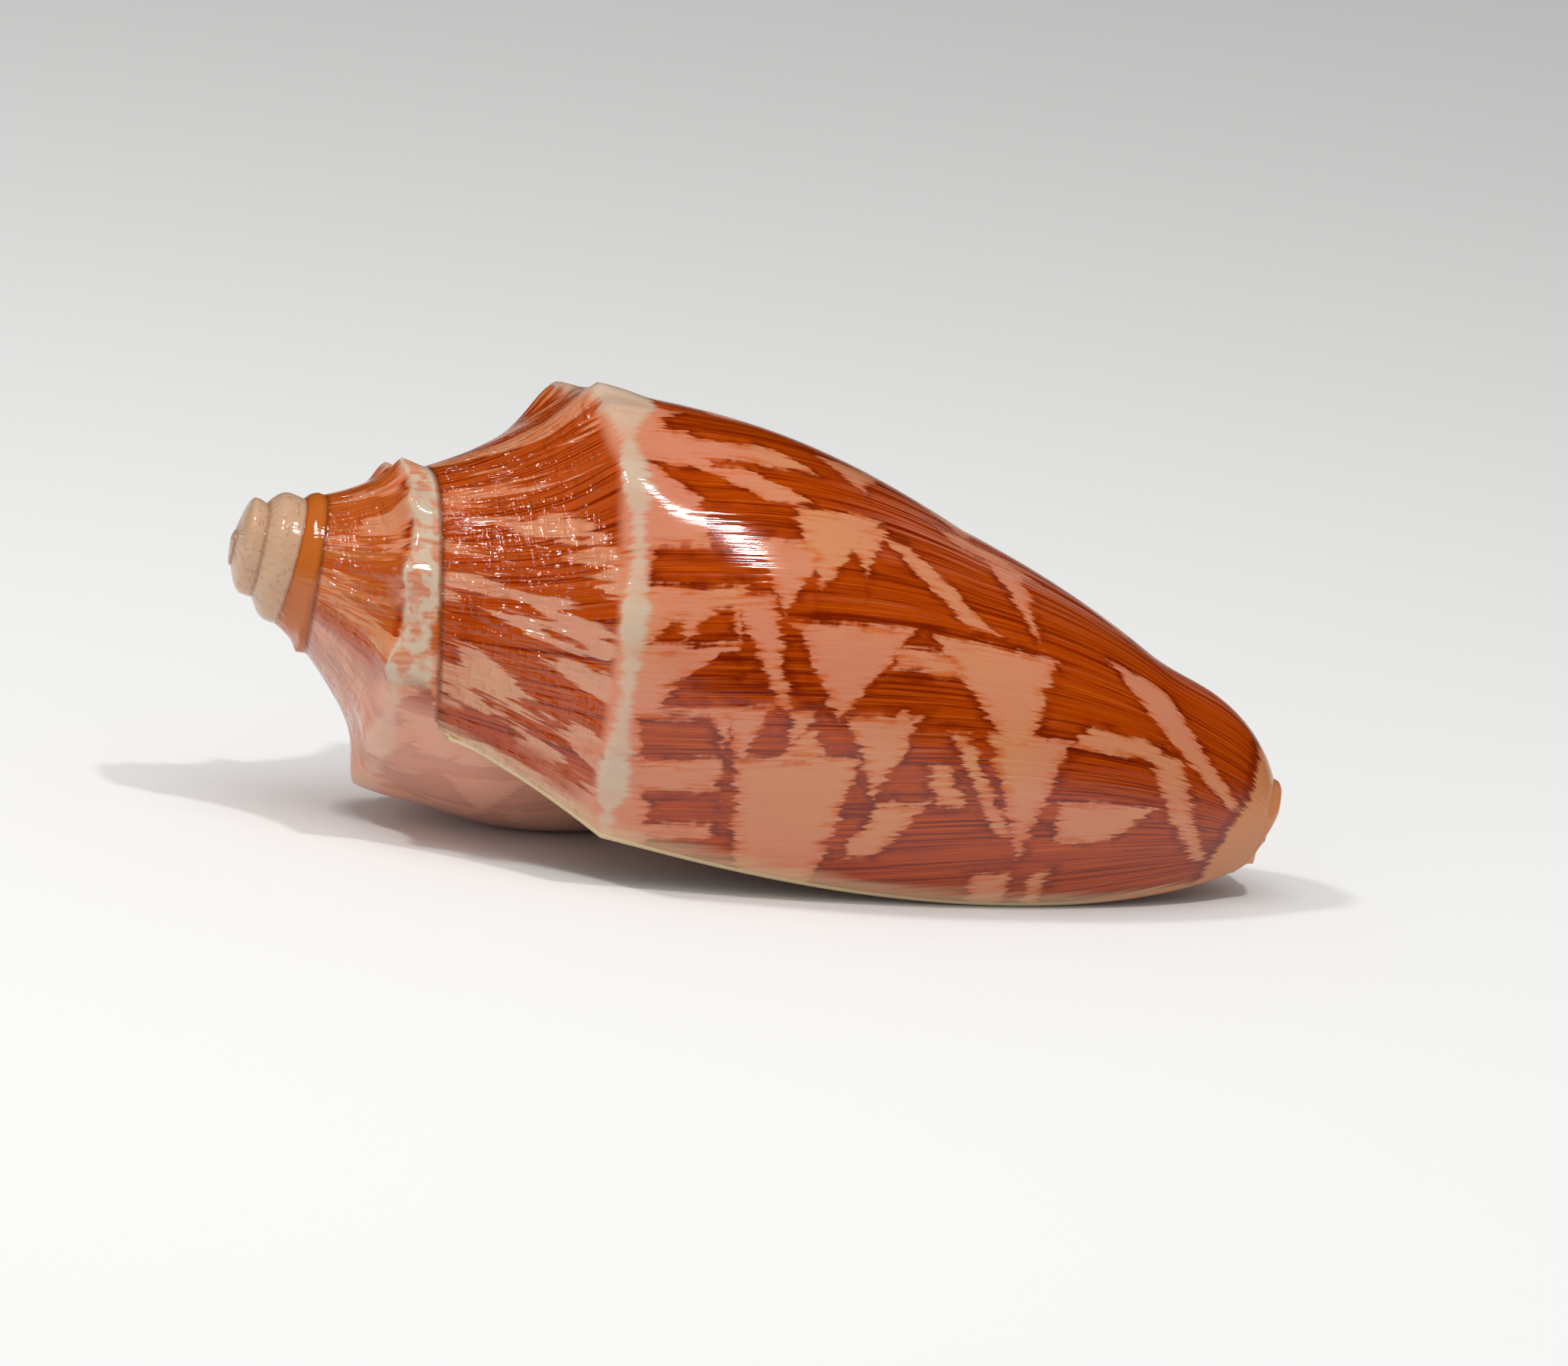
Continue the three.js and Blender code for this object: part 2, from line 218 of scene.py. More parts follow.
def knob(growth):
    phase = growth * KNOBS_PER_TURN + KNOB_PHASE
    off = (phase - np.round(phase)) / KNOB_WIDTH
    return along(KNOB_HEIGHT, 1, growth) * np.exp(-off * off)


def place(growth, station, radius):
    """A point from its growth, station and radius."""
    angle = math.radians(LIP_ANGLE) + 2 * np.pi * growth
    lean = TIP_LEAN * np.clip(1 - station / TIP_LEAN_END, 0, 1)
    return np.stack([station + 0 * radius, radius * np.cos(angle) + lean, radius * np.sin(angle)], -1)


def ramp_place(growth, u):
    """Station and radius on the ramp; u is 0 at the suture and 1 at the shoulder."""
    station = suture_station(growth)
    radius = whorl_radius(growth - 1, station)
    rise = shoulder_radius(growth) - radius
    spire = smooth_step(*TIP_WHORLS, growth)
    bow = (TIP_BOW * (1 - spire) - RAMP_HOLLOW * spire) * np.sin(np.pi * u) * rise
    height = knob(growth) * np.exp(-((1 - u) / KNOB_UP_RAMP) ** 2)
    across = station + (shoulder_station(growth) - station) * u - KNOB_HOOK * height
    return across, radius + rise * u + bow + height


def wall_place(growth, station, fade):
    """Station and radius on the wall below the shoulder, with the knobs running down it."""
    below = station - shoulder_station(growth)
    height = knob(growth) * fade
    radius = body_radius(growth, station) + height * np.exp(-(below / KNOB_DOWN_WALL) ** 2)
    return station - KNOB_HOOK * height * np.exp(-(below / KNOB_HOOK_REACH) ** 2), radius


def outer_radius(growth, station):
    """Radius at a station without the knobs, ramp and wall together."""
    shoulder = shoulder_station(growth)
    start = suture_station(growth)
    low = whorl_radius(growth - 1, start)
    u = np.clip((station - start) / (shoulder - start), 0, 1)
    ramp = low + (shoulder_radius(growth) - low) * u
    return np.where(station >= shoulder, body_radius(growth, station), ramp)


# %% [markdown]
# The mesh is a net of vertices whose columns are dates of growth and whose rows run from the
# suture to the front. Each turn's lower edge is welded to the suture of the next, so the whole
# shell is one closed skin: outside, rounded lip, inside of the mouth and back over the columella.
# A lattice that follows the growth keeps every edge along or across the growth lines, which a
# remeshed sculpt would lose. One function makes it at any fineness.

# %% Grow the lattice
WALL = 1.9
WALL_FRONT = 0.9
LIP_BACKSET = 1.3
MOUTH_CORNER = 4.4
MOUTH_DEPTH = 0.64
NOTCH_TURNS = 0.34
TURNS = 5.5
ROW_CROWDING = 1.25               # rows stand closer towards the front
MOUTH_GAP = (0.5, 0.8)
WALL_FRONT_PEAK = (0.5, 0.85)
LIP_BACKSET_ENDS = 0.8
SOLID_STEPS = 44                  # columns to a turn in the CAD solid
RIM_TURN_ROWS = 4
CAP_SETBACK = 0.6
OUTSIDE, EDGE, HOLLOW, PILLAR = 0.0, 1.0, 2.0, 3.0


class Lattice:
    """Vertices and faces, with growth, station and part kept for each corner of a face."""

    def __init__(self):
        self.spots = []
        self.count = 0
        self.faces = []
        self.corners = []

    def add(self, points):
        """Adds points and gives back their numbers, in the same layout."""
        flat = points.reshape(-1, 3)
        numbers = np.arange(self.count, self.count + len(flat)).reshape(points.shape[:-1])
        self.spots.append(flat)
        self.count += len(flat)
        return numbers

    def face(self, numbers, values):
        """One face; a corner that repeats the one before it is dropped."""
        kept = [k for k in range(len(numbers)) if numbers[k] != numbers[k - 1]]
        if len(kept) > 2:
            self.faces.append([int(numbers[k]) for k in kept])
            self.corners += [tuple(values[k]) for k in kept]

    def net(self, numbers, growth, station, part, flip=False):
        """Faces over a net of vertex numbers, with growth and station of the same shape."""
        values = np.stack([growth, station, np.full(growth.shape, part)], -1)
        order = [(0, 0), (0, 1), (1, 1), (1, 0)] if flip else [(0, 0), (1, 0), (1, 1), (0, 1)]
        high, wide = numbers.shape
        pick = [(slice(i, high - 1 + i), slice(j, wide - 1 + j)) for i, j in order]
        faces = np.stack([numbers[p] for p in pick], -1).reshape(-1, 4)
        corners = np.stack([values[p] for p in pick], -2).reshape(-1, 4, 3)
        whole = np.all(faces != np.roll(faces, 1, axis=1), axis=1)
        self.faces += faces[whole].tolist()
        self.corners += corners[whole].reshape(-1, 3).tolist()
        for face, value in zip(faces[~whole], corners[~whole]):
            self.face(face, value)

    def fan(self, loop, centre, values, centre_value):
        """Triangles from a closed loop to its centre."""
        for k, start in enumerate(loop):
            after = (k + 1) % len(loop)
            self.face([start, loop[after], centre], [values[k], values[after], centre_value])

    def points(self):
        return np.concatenate(self.spots)


def grow(steps, ramp_rows, wall_rows, body_rows, edge_lines):
    """The whole shell as a lattice with so many columns to a turn."""
    net = Lattice()
    columns = round(TURNS * steps)
    first_open = columns - steps
    first_notch = columns - round(NOTCH_TURNS * steps)
    first_hollow = columns - round(MOUTH_DEPTH * steps)
    neck = ramp_rows + wall_rows
    end = neck + body_rows
    growth = (np.arange(columns + 1) - columns) / steps
    strip = float(suture_station(0.0) - shoulder_station(-1.0))

    # Ramp, all turns
    dates = np.repeat(growth[:, None], end + 1, 1)
    stations = np.zeros(dates.shape)
    outer = np.full(dates.shape, -1)
    u = np.arange(ramp_rows) / ramp_rows
    across, radius = ramp_place(dates[:, :ramp_rows], u[None, :])
    stations[:, :ramp_rows] = across
    apex = net.add(place(np.array(-TURNS), np.array(0.0), np.array(0.0)))
    outer[:, :ramp_rows] = net.add(place(dates[:, :ramp_rows], across, radius))
    outer[:steps + 1, 0] = apex
    outer[0, :neck + 1] = apex

    # Wall of the older turns, down to the next suture
    t = np.arange(wall_rows) / wall_rows
    older = dates[1:first_open, ramp_rows:neck]
    shoulder = shoulder_station(older)
    down = shoulder + (suture_station(older + 1) - shoulder) * t
    across, radius = wall_place(older, down, 1 - t[None, :])
    outer[1:first_open, ramp_rows:neck] = net.add(place(older, across, radius))
    stations[:first_open, ramp_rows:neck] = shoulder_station(growth[:first_open, None])
    stations[1:first_open, ramp_rows:neck] = down
    stations[:first_open, neck] = suture_station(growth[:first_open] + 1)

    # Wall of the last turn, down to the front end
    last = dates[first_open:, ramp_rows:]
    rows = np.arange(ramp_rows, end + 1)
    shoulder = shoulder_station(last)
    t = np.clip((rows - neck) / body_rows, 0, 1)
    long = shoulder + strip + (FRONT_CUT - shoulder - strip) * (1 - (1 - t) ** ROW_CROWDING)
    down = np.where(rows <= neck, shoulder + strip * (rows - ramp_rows) / wall_rows, long)
    fade = np.ones(last.shape)
    fade[0] = 1 - np.clip((rows - ramp_rows) / wall_rows, 0, 1)
    across, radius = wall_place(last, down, fade)
    outer[first_open:, ramp_rows:] = net.add(place(last, across, radius))
    stations[first_open:, ramp_rows:] = down

    # Weld each turn to the suture of the next
    outer[:first_open, neck] = outer[steps:columns, 0]
    outer[0, neck] = apex
    outer[columns, 0] = outer[first_open, neck]
    joined = slice(0, first_open + 1)
    net.net(outer[joined, :neck + 1], dates[joined, :neck + 1], stations[joined, :neck + 1], OUTSIDE)
    opened = slice(first_open, columns + 1)
    net.net(outer[opened], dates[opened], stations[opened], OUTSIDE)

    # Inside of the wall, and the turn before with the columella, from the lip inwards
    inner = neck + 1
    pillar_rows = end - inner
    hollow = growth[first_hollow:]
    corner = suture_station(hollow) + MOUTH_CORNER
    corner[-1] = down[0, inner - ramp_rows]
    t = 1 - (1 - np.arange(pillar_rows + 1) / pillar_rows) ** ROW_CROWDING
    pillar_stations = corner[:, None] + (FRONT_CUT - corner[:, None]) * t
    pillar_dates = np.repeat(hollow[:, None], pillar_rows + 1, 1)
    pillar_stations[-1] = stations[first_open, inner:]
    radius = body_radius(pillar_dates - 1, pillar_stations)
    pillar = np.zeros(pillar_dates.shape, int)
    pillar[:-1] = net.add(place(pillar_dates, pillar_stations, radius)[:-1])
    pillar[-1] = outer[first_open, inner:]
    t = np.arange(1, end + 1) / end
    wall_stations = corner[:, None] + (FRONT_CUT - corner[:, None]) * (1 - (1 - t) ** ROW_CROWDING)
    wall_dates = np.repeat(hollow[:, None], end, 1)
    thick = WALL_FRONT * smooth_step(*WALL_FRONT_PEAK, t)
    thick = WALL + thick * (1 - smooth_step(WALL_FRONT_PEAK[1], 1, t))
    reach = wall_stations - LIP_BACKSET * (1 - smooth_step(LIP_BACKSET_ENDS, 1, t))
    roof = outer_radius(wall_dates, reach) - thick
    floor = body_radius(wall_dates - 1, wall_stations) + MOUTH_GAP[0] + MOUTH_GAP[1] * t
    inside = np.zeros((len(hollow), end + 1), int)
    inside[:, 0] = pillar[:, 0]
    inside[:, 1:] = net.add(place(wall_dates, wall_stations, np.maximum(roof, floor)))
    wall_dates = np.repeat(hollow[:, None], end + 1, 1)
    wall_stations = np.concatenate([corner[:, None], wall_stations], 1)
    net.net(inside, wall_dates, wall_stations, HOLLOW, flip=True)
    net.net(pillar, pillar_dates - 1, pillar_stations, PILLAR)
    shut = first_notch - first_hollow + 1
    floor_strip = np.stack([inside[:shut, end], pillar[:shut, pillar_rows]], 1)
    net.net(floor_strip, wall_dates[:shut, :2], np.full((shut, 2), FRONT_CUT), HOLLOW, flip=True)

    # Rounded edge along the lip and round the notch
    notch = np.arange(columns - 1, first_notch - 1, -1)
    edge_outer = np.concatenate([outer[columns], outer[notch, end]])
    edge_inner = np.concatenate([inside[-1], inside[notch - first_hollow, end]])
    spots = net.points()
    a, b = spots[edge_outer], spots[edge_inner]
    m = np.arange(len(edge_outer))
    round_front = np.maximum(m - end, 0)
    turn = round_front * SOLID_STEPS / steps + 2 * (m > end - 2 * steps / SOLID_STEPS)
    turn = np.clip(turn / RIM_TURN_ROWS, 0, 1)[:, None]
    angle = math.radians(LIP_ANGLE) - 2 * np.pi * round_front / steps
    forward = np.stack([0 * angle, -np.sin(angle), np.cos(angle)], 1)
    forward = forward * (1 - turn) + turn * [1.0, 0, 0]
    forward /= np.linalg.norm(forward, axis=1)[:, None]
    half = 0.5 * np.linalg.norm(a - b, axis=1)[:, None]
    edge = [edge_inner]
    for k in range(1, edge_lines + 1):
        swing = math.pi * k / (edge_lines + 1)
        spot = (a + b) / 2 + (b - a) / 2 * math.cos(swing) + forward * half * math.sin(swing)
        numbers = net.add(spot)
        numbers[0] = edge_inner[0]
        edge.append(numbers)
    edge.append(edge_outer)
    edge = np.stack(edge)
    edge_dates = np.repeat(-(round_front / steps)[None], len(edge), 0)
    outer_stations = np.concatenate([stations[columns], stations[notch, end]])
    edge_stations = np.repeat(outer_stations[None], len(edge), 0)
    net.net(edge, edge_dates, edge_stations, EDGE, flip=True)

    # Cap over the columella's tip, and the blind end of the hollow
    caps = [outer[i, end] for i in range(first_open, first_notch + 1)]
    values = [(growth[i], FRONT_CUT, EDGE) for i in range(first_open, first_notch + 1)]
    caps += list(edge[::-1, -1][1:])
    values += [(growth[first_notch], FRONT_CUT, EDGE)] * (len(edge) - 1)
    for i in range(first_notch, columns):
        caps.append(pillar[i - first_hollow, pillar_rows])
        values.append((growth[i], FRONT_CUT, EDGE))
    tip = net.add(np.array([TIP_STATION - CAP_SETBACK, 0, 0]))
    net.fan(caps, tip, values, (-0.5, TIP_STATION, EDGE))
    blind = list(pillar[0]) + list(inside[0, :0:-1])
    centre = net.add(net.points()[blind].mean(0))
    value = (growth[first_hollow], FRONT_CUT, HOLLOW)
    net.fan(blind, centre, [value] * len(blind), value)
    return net


# %% [markdown]
# The shell rests mouth down, rolled and pitched until the edge of the lip and the belly touch
# the ground. The CAD solid is centred by its own box. Growing a coarse lattice of the solid's
# fineness and laying it against the solid's box gives the shift, so no number is copied.

# %% Lay the shell down where the solid lies
REST_ROLL = 79.4
REST_PITCH = 11.1
lie_down = (Matrix.Rotation(math.radians(REST_PITCH), 3, "Y")
            @ Matrix.Rotation(math.radians(REST_ROLL), 3, "X"))
coarse = grow(steps=SOLID_STEPS, ramp_rows=4, wall_rows=2, body_rows=20, edge_lines=1)
laid = coarse.points() @ np.array(lie_down).T
solid_low, solid_high = (np.array(corner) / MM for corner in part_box("shell"))
shift = (solid_low + solid_high - laid.min(0) - laid.max(0)) / 2
shift[2] = solid_high[2] - laid[:, 2].max()
rest = Matrix.Translation(Vector(shift) * MM) @ lie_down.to_4x4()
print("shell axis starts at, mm:", [round(x, 2) for x in shift])

# %% [markdown]
# The photograph looks across the axis from the shell's side, turned a little towards the spire
# and slightly above, with the spire to the left and the axis running down to the right. A long
# lens from far off keeps the sides parallel as they are there. The camera's axes are built in
# the shell's own frame from two angles and then laid down with it.

# %% Camera
PICTURE_TILT = math.radians(16)       # the axis runs down to the right across the picture
FRONT_AWAY = math.radians(7)          # the front end is turned this far from the camera
PICTURE_WIDTH = 130.0                 # millimetres across the frame at the axis
PICTURE_CENTRE = (46.05, -11.44)      # from the spire's tip, right and up in the picture
DISTANCE = 1200.0

axis_right = Vector((math.cos(FRONT_AWAY), 0, math.sin(FRONT_AWAY)))
axis_up = Vector((0, 1, 0))
to_camera = Vector((-math.sin(FRONT_AWAY), 0, math.cos(FRONT_AWAY)))
right = axis_right * math.cos(PICTURE_TILT) + axis_up * math.sin(PICTURE_TILT)
up = axis_up * math.cos(PICTURE_TILT) - axis_right * math.sin(PICTURE_TILT)
centre = right * PICTURE_CENTRE[0] + up * PICTURE_CENTRE[1]
camera_data = bpy.data.cameras.new("camera")
camera_data.sensor_width = 36.0
camera_data.lens = camera_data.sensor_width * DISTANCE / PICTURE_WIDTH
camera_data.clip_start, camera_data.clip_end = 0.01, 20.0
camera = bpy.data.objects.new("camera", camera_data)
bpy.context.scene.collection.objects.link(camera)
turned = Matrix((right, up, to_camera)).transposed().to_4x4()
seat = Matrix.Translation((centre + to_camera * DISTANCE) * MM)
camera.matrix_world = rest @ seat @ turned
bpy.context.scene.camera = camera
print("camera at, mm:", [round(x / MM) for x in camera.matrix_world.translation])

# %% [markdown]
# The fine lattice has sixteen columns to a knob and rows a little over half a millimetre apart,
# which keeps the silhouette smooth in a close view. It replaces the solid, which stays for
# collision. What would reach below the ground is worn flat. Each corner of a face keeps its
# growth, its station, its way along the arc, and how far it is from the shoulder and from the
# seam, for the nodes to read.

# %% Make the shell's mesh
SEAM_REACH = 5
fine = grow(steps=176, ramp_rows=24, wall_rows=6, body_rows=104, edge_lines=5)
laid = fine.points() * MM @ np.array(rest.to_3x3()).T + np.array(rest.translation)
laid[:, 2] = np.maximum(laid[:, 2], 0)
shell_mesh = bpy.data.meshes.new("volute_shell")
shell_mesh.from_pydata(laid.tolist(), [], fine.faces)
shell_mesh.shade_smooth()
corner_growth, corner_station, corner_part = np.array(fine.corners, np.float32).T
past_shoulder = (corner_station - shoulder_station(corner_growth)).astype(np.float32)
dates = np.linspace(-TURNS, 0, 2001)
path = np.cumsum(2 * np.pi * shoulder_radius(dates)) * (dates[1] - dates[0])
arc_length = np.interp(corner_growth, dates, path).astype(np.float32)
past_suture = corner_station - suture_station(corner_growth)
to_next = np.where(corner_growth < -1, suture_station(corner_growth + 1) - corner_station, np.inf)
from_seam = np.clip(np.minimum(past_suture, to_next), 0, SEAM_REACH).astype(np.float32)
kept = {
    "grown": corner_growth, "arc": arc_length, "station": corner_station,
    "below": past_shoulder, "seam": from_seam, "part": corner_part,
}
for name, values in kept.items():
    shell_mesh.attributes.new(name, "FLOAT", "CORNER").data.foreach_set("value", values)
shell_mesh.validate()
shell = bpy.data.objects.new("volute_shell", shell_mesh)
bpy.context.scene.collection.objects.link(shell)
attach(shell, "root")
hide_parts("shell")
print("faces:", len(shell_mesh.polygons), "triangles:", sum(len(f) - 2 for f in fine.faces))

# %% [markdown]
# The colours are laid down by the mantle's edge as the shell grows, so the pattern is a history:
# each pale tent starts all at once along a growth line and then closes to a point while brown
# pigment spreads over it. A painted picture would be stuck to one view. Here the nodes read each
# place's growth and station instead, and the pattern is arithmetic on those, sharp at any size.

# %% Shader arithmetic
class Layer:
    """A number or colour that changes over the shell, with the usual signs for sums."""

    def __init__(self, paint, socket):
        self.paint = paint
        self.socket = socket

    def __add__(self, other):
        return self.paint.sum_of("ADD", self, other)

    def __sub__(self, other):
        return self.paint.sum_of("SUBTRACT", self, other)

    def __rsub__(self, other):
        return self.paint.sum_of("SUBTRACT", other, self)

    def __mul__(self, other):
        return self.paint.sum_of("MULTIPLY", self, other)

    __radd__ = __add__
    __rmul__ = __mul__


class Paint:
    """A material's nodes. One method adds any node; the others are short names for common ones."""

    def __init__(self, material):
        material.use_nodes = True
        self.tree = material.node_tree
        self.tree.nodes.clear()

    def node(self, kind, settings, sockets, output=0):
        made = self.tree.nodes.new(kind)
        for setting, value in settings.items():
            setattr(made, setting, value)
        for name, value in sockets.items():
            if isinstance(value, Layer):
                self.tree.links.new(value.socket, made.inputs[name])
            else:
                made.inputs[name].default_value = value
        return Layer(self, made.outputs[output]) if made.outputs else made

    def sum_of(self, operation, *terms):
        return self.node("ShaderNodeMath", {"operation": operation}, dict(enumerate(terms)))

    def reading(self, name):
        """A value kept on the mesh."""
        return self.node("ShaderNodeAttribute", {"attribute_name": name}, {}, "Fac")

    def rise(self, value, start, end):
        """0 before the start and 1 after the end, with a smooth step between."""
        return self.node("ShaderNodeMapRange", {"interpolation_type": "SMOOTHSTEP"},
                         {0: value, 1: start, 2: end, 3: 0.0, 4: 1.0})

    def grain(self, x, y, seed, detail=2.0, roughness=0.5):
        """Noise over two lengths, between 0 and 1."""
        spot = self.node("ShaderNodeCombineXYZ", {}, {0: x, 1: y, 2: seed})
        return self.node("ShaderNodeTexNoise", {"noise_dimensions": "3D"},
                         {"Vector": spot, "Scale": 1.0, "Detail": detail, "Roughness": roughness})

    def chance(self, x, y, seed):
        """A random number that stays the same over each whole step of x and y."""
        spot = self.node("ShaderNodeCombineXYZ", {}, {0: x, 1: y, 2: seed})
        return self.node("ShaderNodeTexWhiteNoise", {"noise_dimensions": "3D"}, {"Vector": spot})

    def mix(self, share, first, second):
        return self.node("ShaderNodeMix", {"data_type": "RGBA"}, {0: share, 6: first, 7: second}, 2)


def colour(code):
    """A colour from its web code, for a shader socket."""
    parts = [int(code[i:i + 2], 16) / 255 for i in (0, 2, 4)]
    return tuple(x / 12.92 if x <= 0.04045 else ((x + 0.055) / 1.055) ** 2.4 for x in parts) + (1.0,)


enamel = bpy.data.materials.new("glaze")
glaze = Paint(enamel)
rise, grain = glaze.rise, glaze.grain


def least(a, b):
    return glaze.sum_of("MINIMUM", a, b)


def most(a, b):
    return glaze.sum_of("MAXIMUM", a, b)


def size_of(value):
    return glaze.sum_of("ABSOLUTE", value)


# %% [markdown]
# Growth lines lean across the whorl, so the date of a place is its growth plus a little for its
# station. The edges of the tents are combed: every new line of growth stops a little earlier or
# later than the last. Noise stretched along the growth lines shifts the stations for that.

# %% Growth lines and their combed edges
SLANT = 0.0022            # turns to a millimetre of station
SLANT_FROM = 40.0
MM_PER_TURN = 125.0       # round the last whorl

grown = glaze.reading("grown")
arc = glaze.reading("arc")
station = glaze.reading("station")
below = glaze.reading("below")
seam = glaze.reading("seam")
part = glaze.reading("part")
date = grown + SLANT * (station - SLANT_FROM)
lines = arc + SLANT * MM_PER_TURN * station

coarse_comb = grain(lines * 1.1, station * 0.10, 3.1) - 0.5
fine_comb = grain(lines * 4.0, station * 0.22, 8.4) - 0.5
combed = station + 1.5 * coarse_comb + 1.1 * fine_comb
waved = date + 0.009 * (grain(station * 0.9, lines * 0.12, 5.5, detail=3.0) - 0.5)

# %% [markdown]
# A patch has an upper and a lower line, each a date with its left and right station. A tent's
# lower line is a single point. The least distance to the sides says how deep inside a place is,
# and the greatest depth over all patches joins them. The visible side has the tents of the real
# shell, measured one by one. The last five pale ones lie on the top of the whorl, where the
# photograph sees it edge on, and are placed one by one.

# %% Tents and patches of the visible side
PALE = [
    ((-0.233, 42.4, 50.4), (-0.173, 46.2, 46.2)), ((-0.226, 46.5, 50.8), (-0.186, 49.7, 49.7)),
    ((-0.207, 39.4, 46.2), (-0.158, 43.7, 43.7)),
    ((-0.168, 39.0, 42.6), (-0.098, 45.6, 46.2)), ((-0.152, 44.8, 54.9), (-0.090, 50.3, 50.3)),
    ((-0.104, 40.6, 44.8), (-0.063, 43.5, 43.5)), ((-0.098, 46.3, 48.3), (-0.070, 47.3, 47.3)),
    ((-0.094, 50.9, 57.2), (-0.039, 55.1, 55.1)), ((-0.068, 43.0, 53.0), (0.036, 46.8, 52.4)),
    ((-0.066, 46.0, 50.2), (-0.086, 48.6, 48.6)), ((-0.150, 56.3, 67.3), (-0.060, 66.6, 66.6)),
    ((-0.084, 63.0, 70.2), (0.016, 68.6, 68.6)), ((-0.083, 59.9, 61.3), (-0.004, 66.3, 67.4)),
    ((-0.218, 50.6, 53.0), (-0.160, 59.2, 61.8)), ((-0.236, 60.0, 63.2), (-0.164, 65.6, 65.6)),
    ((-0.172, 71.8, 78.0), (-0.052, 86.0, 87.6)), ((-0.092, 77.0, 80.4), (0.045, 84.0, 85.0)),
    ((-0.100, 71.5, 78.0), (-0.079, 70.3, 79.3)), ((-0.032, 70.6, 79.2), (0.006, 71.2, 76.0)),
    ((0.030, 65.3, 68.4), (0.070, 66.0, 68.8)), ((0.034, 70.2, 71.5), (0.080, 70.4, 71.8)),
    ((-0.138, 53.4, 57.6), (-0.122, 53.6, 61.0)), ((-0.060, 59.0, 60.6), (-0.030, 60.5, 62.6)),
    ((-0.034, 55.8, 60.0), (0.006, 53.8, 56.8)), ((-0.262, 33.0, 38.0), (-0.236, 36.5, 45.0)),
    ((-0.290, 31.5, 40.0), (-0.268, 33.0, 45.0)), ((-0.256, 55.0, 60.0), (-0.238, 58.0, 66.0)),
    ((-0.330, 20.0, 31.0), (-0.200, 20.0, 39.5)), ((-0.200, 20.0, 39.5), (-0.070, 20.0, 42.0)),
    ((-0.070, 20.0, 42.0), (0.030, 20.0, 44.0)),
    ((-0.302, 44.0, 50.0), (-0.262, 48.5, 48.5)), ((-0.296, 53.0, 59.5), (-0.258, 58.0, 58.0)),
    ((-0.308, 63.0, 69.0), (-0.264, 68.5, 68.5)), ((-0.272, 68.0, 75.0), (-0.232, 73.5, 73.5)),
    ((-0.300, 75.0, 80.0), (-0.272, 79.0, 79.0)),
]
BROWN = [
    ((-0.343, 31.2, 42.0), (-0.300, 31.0, 41.0)), ((-0.262, 30.2, 33.6), (-0.228, 36.2, 42.5)),
    ((-0.236, 35.0, 41.6), (-0.194, 36.6, 39.8)), ((-0.201, 32.0, 39.6), (-0.175, 32.4, 41.2)),
    ((-0.161, 38.2, 39.3), (-0.139, 35.8, 40.6)), ((-0.154, 34.6, 35.4), (-0.140, 33.4, 36.0)),
    ((-0.134, 39.6, 42.2), (-0.115, 35.8, 43.9)), ((-0.121, 37.0, 43.3), (-0.101, 35.6, 45.2)),
    ((-0.095, 34.2, 40.0), (-0.068, 36.0, 42.6)), ((-0.047, 37.0, 42.6), (-0.023, 37.8, 44.0)),
    ((-0.010, 38.0, 45.0), (0.030, 39.5, 46.0)), ((0.018, 53.0, 56.0), (-0.012, 52.6, 52.6)),
]


def depth_in(top, bottom):
    """How many millimetres a place lies inside a patch."""
    length = bottom[0] - top[0]
    share = (waved - top[0]) * (1 / length)
    left = combed - (share * (bottom[1] - top[1]) + top[1])
    right = (share * (bottom[2] - top[2]) + top[2]) - combed
    inside = least(least(left, right), share * (abs(length) * MM_PER_TURN))
    if bottom[1] == bottom[2]:
        return inside
    return least(inside, (1 - share) * (abs(length) * MM_PER_TURN))


def deepest(patches):
    depth = depth_in(*patches[0])
    for top, bottom in patches[1:]:
        depth = most(depth, depth_in(top, bottom))
    return depth


pale_depth = deepest(PALE)
brown_depth = deepest(BROWN)
print("pale patches:", len(PALE), "brown patches:", len(BROWN))

# %% [markdown]
# The far side and the underside aren't in the photograph, so their tents are drawn by chance. The
# whorl is divided in rows by date, each shifted by chance, and in cells by station. Each cell
# holds one tent with a width, a length and a slant of its own. Two such layers of different
# pitch don't look regular. Noise that follows the growth lines then frays the edges of all
# tents, measured or not.

# %% Chance tents on the older half of the whorl
def chance_tents(row_turns, cell_width, seed):
    rows = waved * (1 / row_turns)
    row = glaze.sum_of("FLOOR", rows)
    share = rows - row
    cells = (combed + cell_width * glaze.chance(row, 0.0, seed)) * (1 / cell_width)
    cell = glaze.sum_of("FLOOR", cells)
    across = (cells - cell - 0.5) * cell_width
    width = 0.16 + 0.36 * glaze.chance(row, cell, seed + 1)
    length = 0.5 + 0.5 * glaze.chance(row, cell, seed + 2)
    slant = 0.5 * (glaze.chance(row, cell, seed + 3) - 0.5)
    half = cell_width * (width - 0.5 * share * (0.6 + 0.6 * glaze.chance(row, cell, seed + 4)))
    side = half - size_of(across - cell_width * slant * share)
    return least(side, (length - share) * (row_turns * MM_PER_TURN))


